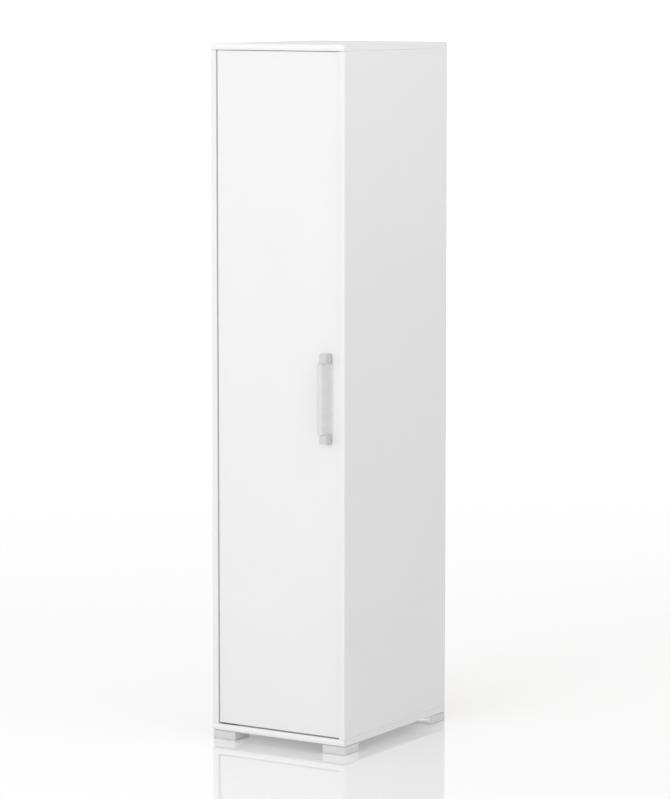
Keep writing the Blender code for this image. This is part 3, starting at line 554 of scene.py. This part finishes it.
def screw_shape(head_radius, head, shank_radius, shank, recess, domed=True):
    """A cross-head screw with the top of its head at the origin, pointing down."""
    bm = bmesh.new()
    top = head_radius * (HEAD_FLAT if domed else SUNK_FLAT)
    shoulder = head * (HEAD_DOME if domed else SUNK_EDGE)
    rim = ring(bm, (0, 0, 0), (0, 0, 1), top, SCREW_SIDES)
    slope = push(bm, rim, (0, 0, -shoulder * HEAD_TURN), head_radius * HEAD_BEND / top)
    edge = push(bm, slope, (0, 0, -shoulder * (1 - HEAD_TURN)), 1 / HEAD_BEND)
    narrower = shank_radius / head_radius
    seat = push(bm, edge, (0, 0, shoulder - head), 1.0 if domed else narrower)
    neck = push(bm, seat, (0, 0, 0), narrower) if domed else seat
    tip = push(bm, neck, (0, 0, -shank), 1.0)
    close_loop(bm, tip)
    cross = cross_loop(bm, top * CROSS_ARM, top * CROSS_HALF_WIDTH)
    bmesh.ops.triangle_fill(bm, use_beauty=True, use_dissolve=False, edges=rim + cross)
    close_loop(bm, push(bm, cross, (0, 0, -recess), CROSS_TAPER))
    return bm


def place_along(bm, start, along):
    """Moves a shape that points down from the origin to start, pointing along a direction."""
    turn = (-Vector(along)).to_track_quat("Z", "Y").to_matrix().to_4x4()
    bmesh.ops.transform(bm, matrix=Matrix.Translation(start) @ turn, verts=bm.verts)


def screw_in_place(node, along, material, body):
    """Stands a cross-head screw in for a packed plain one."""
    sizes = bpy.context.scene.wardrobe_sizes
    low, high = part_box(node)
    along = Vector(along)
    span = high - low
    reach = abs(span.dot(along))
    across = max(span[axis] for axis in range(3) if not along[axis])
    start = (low + high) / 2 - along * reach / 2
    head_radius = across / 2
    head = head_radius * HEAD_HEIGHT
    bm = screw_shape(head_radius, head, head_radius * SHANK_SHARE, reach - head, sizes.recess)
    place_along(bm, start, along)
    return make_piece(f"{node}_finished", bm, material, body, [node])


# Operators, one for each piece or group of like pieces


class WARDROBE_OT_boards(bpy.types.Operator):
    """Finishes the side, top and bottom panels, the hat shelf and the door"""

    bl_idname = "wardrobe.boards"
    bl_label = "Boards"

    def execute(self, context):
        rgb = context.scene.wardrobe_finishes.board
        band = context.scene.wardrobe_sizes.band
        flat_axes = {
            "left_side_panel": "YZ",
            "right_side_panel": "YZ",
            "top_panel": "X",
            "bottom_panel": "X",
            "hat_shelf": "XY",
            "door_panel": "XZ",
        }
        for node, axes in flat_axes.items():
            low, high = (dict(zip("XYZ", corner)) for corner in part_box(node))
            has_nose = node in ("top_panel", "bottom_panel")
            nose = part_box("left_side_panel")[0].y - low["Y"] if has_nose else 0.0
            finish = board_finish(f"{node}_white", rgb, low, high, axes, band, nose)
            if has_nose:
                smooth_copy(node, finish, CARCASS)
            else:
                dress(node, finish)
        return {"FINISHED"}


class WARDROBE_OT_back(bpy.types.Operator):
    """Finishes the two halves of the back panel and the strip between them"""

    bl_idname = "wardrobe.back"
    bl_label = "Back"

    def execute(self, context):
        finishes = context.scene.wardrobe_finishes
        depth = middle("back_panel_lower").y
        fibre = fibre_finish("back_fibreboard", finishes.board, finishes.back, depth)
        for node in named("back_panel"):
            dress(node, fibre)
        strip = moulded_plastic("strip_plastic", finishes.plastic, STRIP_ROUGHNESS)
        dress("back_joint_strip", strip)
        return {"FINISHED"}


class WARDROBE_OT_feet(bpy.types.Operator):
    """Models the four feet and the screw in each"""

    bl_idname = "wardrobe.feet"
    bl_label = "Feet"

    def execute(self, context):
        finishes = context.scene.wardrobe_finishes
        sizes = context.scene.wardrobe_sizes
        plastic = moulded_plastic("foot_plastic", finishes.foot, FOOT_ROUGHNESS)
        zinc = zinc_finish("foot_screw_zinc", finishes)
        for name in named("foot_screw_"):
            foot = name.replace("foot_screw_", "foot_")
            low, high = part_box(foot)
            screw_low, screw_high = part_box(name)
            radius = (screw_high.x - screw_low.x) / 2
            shoulder = Vector((high.x, high.y, high.z - sizes.foot_neck))
            inset = Vector((sizes.foot_neck_inset, sizes.foot_neck_inset, 0))
            bm = bmesh.new()
            add_box(bm, low, shoulder)
            round_edges(bm, bm.edges[:], sizes.foot_rounding)
            centre = Vector((*middle(name).xy, low.z))
            mouth = ring(bm, centre, (0, 0, 1), sizes.foot_hole + SEAT, SCREW_SIDES)
            open_face(bm, face_towards(bm, (0, 0, -1)), mouth)
            lip = push(bm, mouth, (0, 0, SEAT), sizes.foot_hole / (sizes.foot_hole + SEAT))
            bottom = push(bm, lip, (0, 0, screw_low.z + radius * HEAD_HEIGHT - low.z), 1.0)
            close_loop(bm, bottom)
            add_box(bm, Vector((low.x, low.y, shoulder.z - SEAT)) + inset, high - inset)
            make_piece(f"{foot}_finished", bm, plastic, CARCASS, [foot])
            screw_in_place(name, (0, 0, 1), zinc, CARCASS)
        return {"FINISHED"}


class WARDROBE_OT_handle(bpy.types.Operator):
    """Models the handle's posts, the grip between them and the screws behind the door"""

    bl_idname = "wardrobe.handle"
    bl_label = "Handle"

    def execute(self, context):
        finishes = context.scene.wardrobe_finishes
        sizes = context.scene.wardrobe_sizes
        silver = (SILVER_ROUGHNESS, LACQUERED, MARKS_ALONG_Z)
        post_silver = satin_metal("post_silver", finishes.post, *silver)
        # The grip's lighter tone is painted light on the same satin silver as the posts.
        grip_silver = satin_metal("grip_silver", finishes.grip, *silver)
        zinc = zinc_finish("handle_screw_zinc", finishes)
        for level in ("upper", "lower"):
            self.make_post(f"handle_post_{level}", post_silver, sizes)
            screw_in_place(f"handle_screw_{level}", (0, -1, 0), zinc, DOOR)
        smooth_copy("handle_grip", grip_silver, DOOR)
        return {"FINISHED"}

    def make_post(self, node, silver, sizes):
        """A post with round front corners and a shallow round dish in its front."""
        low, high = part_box(node)
        bm = bmesh.new()
        add_box(bm, low, high)
        round_edges(bm, uprights_at(bm, low.y), sizes.post_corner, segments=CORNER_STEPS)
        round_edges(bm, sharp_edges(bm), sizes.post_rounding)
        centre = Vector((middle(node).x, low.y, middle(node).z))
        loop = ring(bm, centre, (0, 1, 0), sizes.dimple, DISH_SIDES)
        open_face(bm, face_towards(bm, (0, -1, 0)), loop)
        for down, share in DISH_RINGS:
            loop = push(bm, loop, (0, sizes.dimple_depth * down, 0), share)
        close_loop(bm, loop)
        make_piece(f"{node}_finished", bm, silver, DOOR, [node])


class WARDROBE_OT_rail(bpy.types.Operator):
    """Models the oval clothes rail, its sockets and their screws"""

    bl_idname = "wardrobe.rail"
    bl_label = "Clothes rail"

    def execute(self, context):
        finishes = context.scene.wardrobe_finishes
        chrome = satin_metal("rail_chrome", finishes.chrome, CHROME_ROUGHNESS, BARE, RAIL_MARKS)
        plastic = moulded_plastic("socket_plastic", finishes.plastic, SOCKET_ROUGHNESS)
        zinc = zinc_finish("socket_screw_zinc", finishes)
        low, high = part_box("clothes_rail")
        bm = bmesh.new()
        start = self.oval(bm, low.x, high.y - low.y, high.z - low.z)
        end = push(bm, start, (high.x - low.x, 0, 0))
        close_loop(bm, start)
        close_loop(bm, end)
        make_piece("clothes_rail_finished", bm, chrome, CARCASS, ["clothes_rail"])
        for side, way in (("left", 1), ("right", -1)):
            self.make_socket(f"rail_socket_{side}", way, plastic)
            screw_in_place(f"rail_socket_screw_{side}", (-way, 0, 0), zinc, CARCASS)
        return {"FINISHED"}

    def oval(self, bm, x, wide, tall):
        """Edges of an upright slot shape with round ends, in the plane of an x."""
        centre = middle("clothes_rail")
        half_step = pi / OVAL_SIDES  # so that no point lies at mid-height
        turn = Matrix.Rotation(pi / 2, 4, "Y") @ Matrix.Rotation(half_step, 4, "Z")
        place = Matrix.Translation((x, centre.y, centre.z)) @ turn
        made = bmesh.ops.create_circle(
            bm, cap_ends=False, segments=OVAL_SIDES, radius=wide / 2, matrix=place
        )
        upper = [vert for vert in made["verts"] if vert.co.z > centre.z]
        lower = [vert for vert in made["verts"] if vert.co.z < centre.z]
        rise = (tall - wide) / 2
        bmesh.ops.translate(bm, vec=(0, 0, rise), verts=upper)
        bmesh.ops.translate(bm, vec=(0, 0, -rise), verts=lower)
        return edges_at(made["verts"])

    def make_socket(self, node, way, plastic):
        """A flanged cup round one end of the rail. Way is 1 where it opens towards +X."""
        low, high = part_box(node)
        rail_low, rail_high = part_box("clothes_rail")
        sizes = bpy.context.scene.wardrobe_sizes
        wall_x, mouth_x = (low.x, high.x) if way > 0 else (high.x, low.x)
        across = Vector((high.y - low.y, high.z - low.z))
        bore = Vector((rail_high.y - rail_low.y + 2 * SEAT, rail_high.z - rail_low.z + 2 * SEAT))
        rim = bore + Vector((sizes.socket_wall, sizes.socket_wall)) * 2
        ease = way * 2 * SEAT  # what a softened edge takes along the rail
        soft = Vector((SEAT, SEAT)) * 4  # and across it, on both sides together
        thick = way * sizes.socket_flange
        stations = [
            (wall_x, *across),
            (wall_x + thick - ease, *across),
            (wall_x + thick, *(across - soft)),
            (wall_x + thick, *(rim + soft)),
            (wall_x + thick + ease, *rim),
            (mouth_x - ease, *rim),
            (mouth_x, *(rim - soft)),
            (mouth_x, *(bore + soft)),
            (mouth_x - ease, *bore),
            (wall_x + 2 * thick, *bore),
        ]
        bm = bmesh.new()
        loops = [self.oval(bm, *station) for station in stations]
        for first, second in zip(loops, loops[1:]):
            bmesh.ops.bridge_loops(bm, edges=first + second)
        close_loop(bm, loops[0])
        close_loop(bm, loops[-1])
        make_piece(f"{node}_finished", bm, plastic, CARCASS, [node])


class WARDROBE_OT_fittings(bpy.types.Operator):
    """Finishes the cam fittings and shelf pins"""

    bl_idname = "wardrobe.fittings"
    bl_label = "Fittings"

    def execute(self, context):
        finishes = context.scene.wardrobe_finishes
        zinc = zinc_finish("fitting_zinc", finishes, roughness=CAM_ROUGHNESS)
        for node in named("cam_") + named("shelf_pin_"):
            smooth_copy(node, zinc, CARCASS)
        return {"FINISHED"}


class WARDROBE_OT_hinges(bpy.types.Operator):
    """Finishes the pivot hinges and models the screws in their plates"""

    bl_idname = "wardrobe.hinges"
    bl_label = "Hinges"

    def execute(self, context):
        finishes = context.scene.wardrobe_finishes
        zinc = zinc_finish("hinge_zinc", finishes, marks=MARKS_ALONG_X)
        screw_zinc = zinc_finish("hinge_screw_zinc", finishes, roughness=HINGE_SCREW_ROUGHNESS)
        for node in named("hinge_plate_"):
            dress(node, zinc)
        for node in named("hinge_pin_"):
            smooth_copy(node, zinc, CARCASS)
        washer = moulded_plastic("washer_plastic", finishes.washer, WASHER_ROUGHNESS)
        smooth_copy("hinge_washer", washer, CARCASS)
        for level, way in (("top", -1), ("bottom", 1)):
            self.add_screws(f"hinge_plate_{level}_carcass", way, screw_zinc, CARCASS)
            self.add_screws(f"hinge_plate_{level}_door", -way, screw_zinc, DOOR)
        return {"FINISHED"}

    def add_screws(self, node, way, zinc, body):
        """Two raised screw heads on a plate's open face. Way is 1 where that face looks up."""
        sizes = bpy.context.scene.wardrobe_sizes
        low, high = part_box(node)
        face = high.z if way > 0 else low.z
        for number, share in enumerate(HINGE_SCREW_PLACES, start=1):
            x = low.x + (high.x - low.x) * share
            rise = sizes.hinge_screw_rise
            bm = screw_shape(sizes.hinge_screw, rise + SEAT, sizes.hinge_screw * SHANK_SHARE, rise, rise)
            place_along(bm, (x, middle(node).y, face + way * rise), (0, 0, -way))
            make_piece(f"{node}_screw_{number}", bm, zinc, body)


class WARDROBE_OT_catch(bpy.types.Operator):
    """Finishes the magnetic catch and its strike plate"""

    bl_idname = "wardrobe.catch"
    bl_label = "Catch"

    def execute(self, context):
        finishes = context.scene.wardrobe_finishes
        zinc = zinc_finish("catch_zinc", finishes, marks=MARKS_ALONG_Z)
        housing = moulded_plastic("catch_plastic", finishes.plastic, CATCH_ROUGHNESS)
        magnet = moulded_plastic("magnet_ferrite", finishes.magnet, MAGNET_ROUGHNESS)
        dress("catch_housing", housing)
        dress("catch_magnet", magnet)
        dress("catch_strike", zinc)
        for level in ("lower", "upper"):
            screw_in_place(f"catch_screw_{level}", (1, 0, 0), zinc, CARCASS)
        self.make_strike_screw(zinc)
        return {"FINISHED"}

    def make_strike_screw(self, zinc):
        """A countersunk cross-head screw, flush with the strike plate."""
        sizes = bpy.context.scene.wardrobe_sizes
        node = "catch_strike_screw"
        low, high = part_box(node)
        head_radius = (high.x - low.x) / 2
        plate_low, plate_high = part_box("catch_strike")
        head = plate_high.y - plate_low.y
        shank = high.y - low.y - head
        shank_radius = head_radius * SUNK_SHANK_SHARE
        bm = screw_shape(head_radius, head, shank_radius, shank, sizes.recess, domed=False)
        place_along(bm, (middle(node).x, high.y, middle(node).z), (0, -1, 0))
        make_piece(f"{node}_finished", bm, zinc, DOOR, [node])


class WARDROBE_OT_stage(bpy.types.Operator):
    """Sets up the floor, the lights and the camera"""

    bl_idname = "wardrobe.stage"
    bl_label = "Stage"

    def execute(self, context):
        stage = context.scene.wardrobe_stage
        self.make_floor(stage)
        self.make_sky(context.scene, stage)
        for name, box in SOFTBOXES.items():
            self.add_softbox(f"{name}_softbox", getattr(stage, f"{name}_light"), *box)
        self.add_camera(context.scene, stage)
        context.scene.view_settings.view_transform = "Standard"
        return {"FINISHED"}

    def make_floor(self, stage):
        """A wide flat floor just below the feet."""
        bm = bmesh.new()
        below = Matrix.Translation((0, 0, -FLOOR_DROP))
        bmesh.ops.create_grid(
            bm, x_segments=FLOOR_CELLS, y_segments=FLOOR_CELLS, size=FLOOR_REACH, matrix=below
        )
        mesh = bpy.data.meshes.new("floor")
        bm.to_mesh(mesh)
        bm.free()
        finish = floor_finish("pale_floor", stage.floor, stage.floor_roughness, stage.floor_mirror)
        mesh.materials.append(finish)
        floor = bpy.data.objects.new("floor", mesh)
        bpy.context.scene.collection.objects.link(floor)

    def make_sky(self, scene, stage):
        """White light from all round, stronger towards the horizon."""
        world = bpy.data.worlds.new("studio")
        world.use_nodes = True
        nodes, links = world.node_tree.nodes, world.node_tree.links
        direction = nodes.new("ShaderNodeTexCoord")
        axes = nodes.new("ShaderNodeSeparateXYZ")
        links.new(direction.outputs["Generated"], axes.inputs["Vector"])
        fade = nodes.new("ShaderNodeMapRange")
        links.new(axes.outputs["Z"], fade.inputs["Value"])
        fade.inputs["From Max"].default_value = HORIZON_HEIGHT
        fade.inputs["To Min"].default_value = stage.horizon
        fade.inputs["To Max"].default_value = stage.sky
        background = nodes["Background"]
        background.inputs["Color"].default_value = (1, 1, 1, 1)
        links.new(fade.outputs["Result"], background.inputs["Strength"])
        scene.world = world

    def add_softbox(self, name, power, place, target, size, spread):
        """A rectangular area light that faces a point and doesn't show in the mirror-like floor."""
        light = bpy.data.lights.new(name, "AREA")
        light.shape = "RECTANGLE"
        light.size, light.size_y = size
        light.energy = power
        light.spread = spread
        lamp = bpy.data.objects.new(name, light)
        lamp.visible_glossy = False
        lamp.location = place
        lamp.rotation_euler = (Vector(target) - Vector(place)).to_track_quat("-Z", "Y").to_euler()
        bpy.context.scene.collection.objects.link(lamp)

    def add_camera(self, scene, stage):
        """The camera at the photograph's angle."""
        camera = bpy.data.cameras.new("camera")
        camera.lens = stage.camera_lens
        view = bpy.data.objects.new("camera", camera)
        view.location = stage.camera_place
        view.rotation_euler = (pi / 2 - stage.camera_pitch, 0, stage.camera_heading)
        scene.collection.objects.link(view)
        scene.camera = view


class WARDROBE_PT_panel(bpy.types.Panel):
    """Lists the wardrobe's operators and settings"""

    bl_idname = "WARDROBE_PT_panel"
    bl_label = "Wardrobe"
    bl_space_type = "VIEW_3D"
    bl_region_type = "UI"
    bl_category = "Wardrobe"

    def draw(self, context):
        layout = self.layout
        for operator in OPERATORS:
            layout.operator(operator.bl_idname)
        for name, group in SETTINGS.items():
            box = layout.box()
            for key in group.__annotations__:
                box.prop(getattr(context.scene, name), key)


OPERATORS = (
    WARDROBE_OT_boards,
    WARDROBE_OT_back,
    WARDROBE_OT_feet,
    WARDROBE_OT_handle,
    WARDROBE_OT_rail,
    WARDROBE_OT_fittings,
    WARDROBE_OT_hinges,
    WARDROBE_OT_catch,
    WARDROBE_OT_stage,
)
SETTINGS = {
    "wardrobe_finishes": WardrobeFinishes,
    "wardrobe_sizes": WardrobeSizes,
    "wardrobe_stage": WardrobeStage,
}


def register():
    """Adds the settings, the operators and the panel."""
    for group in SETTINGS.values():
        bpy.utils.register_class(group)
    for name, group in SETTINGS.items():
        setattr(bpy.types.Scene, name, PointerProperty(type=group))
    for operator in OPERATORS:
        bpy.utils.register_class(operator)
    bpy.utils.register_class(WARDROBE_PT_panel)


def unregister():
    """Takes them away again."""
    bpy.utils.unregister_class(WARDROBE_PT_panel)
    for operator in reversed(OPERATORS):
        bpy.utils.unregister_class(operator)
    for name, group in reversed(SETTINGS.items()):
        delattr(bpy.types.Scene, name)
        bpy.utils.unregister_class(group)


def main():
    """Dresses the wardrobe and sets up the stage."""
    register()
    bpy.ops.wardrobe.boards()
    bpy.ops.wardrobe.back()
    bpy.ops.wardrobe.feet()
    bpy.ops.wardrobe.handle()
    bpy.ops.wardrobe.rail()
    bpy.ops.wardrobe.fittings()
    bpy.ops.wardrobe.hinges()
    bpy.ops.wardrobe.catch()
    bpy.ops.wardrobe.stage()


if __name__ == "__main__":
    main()
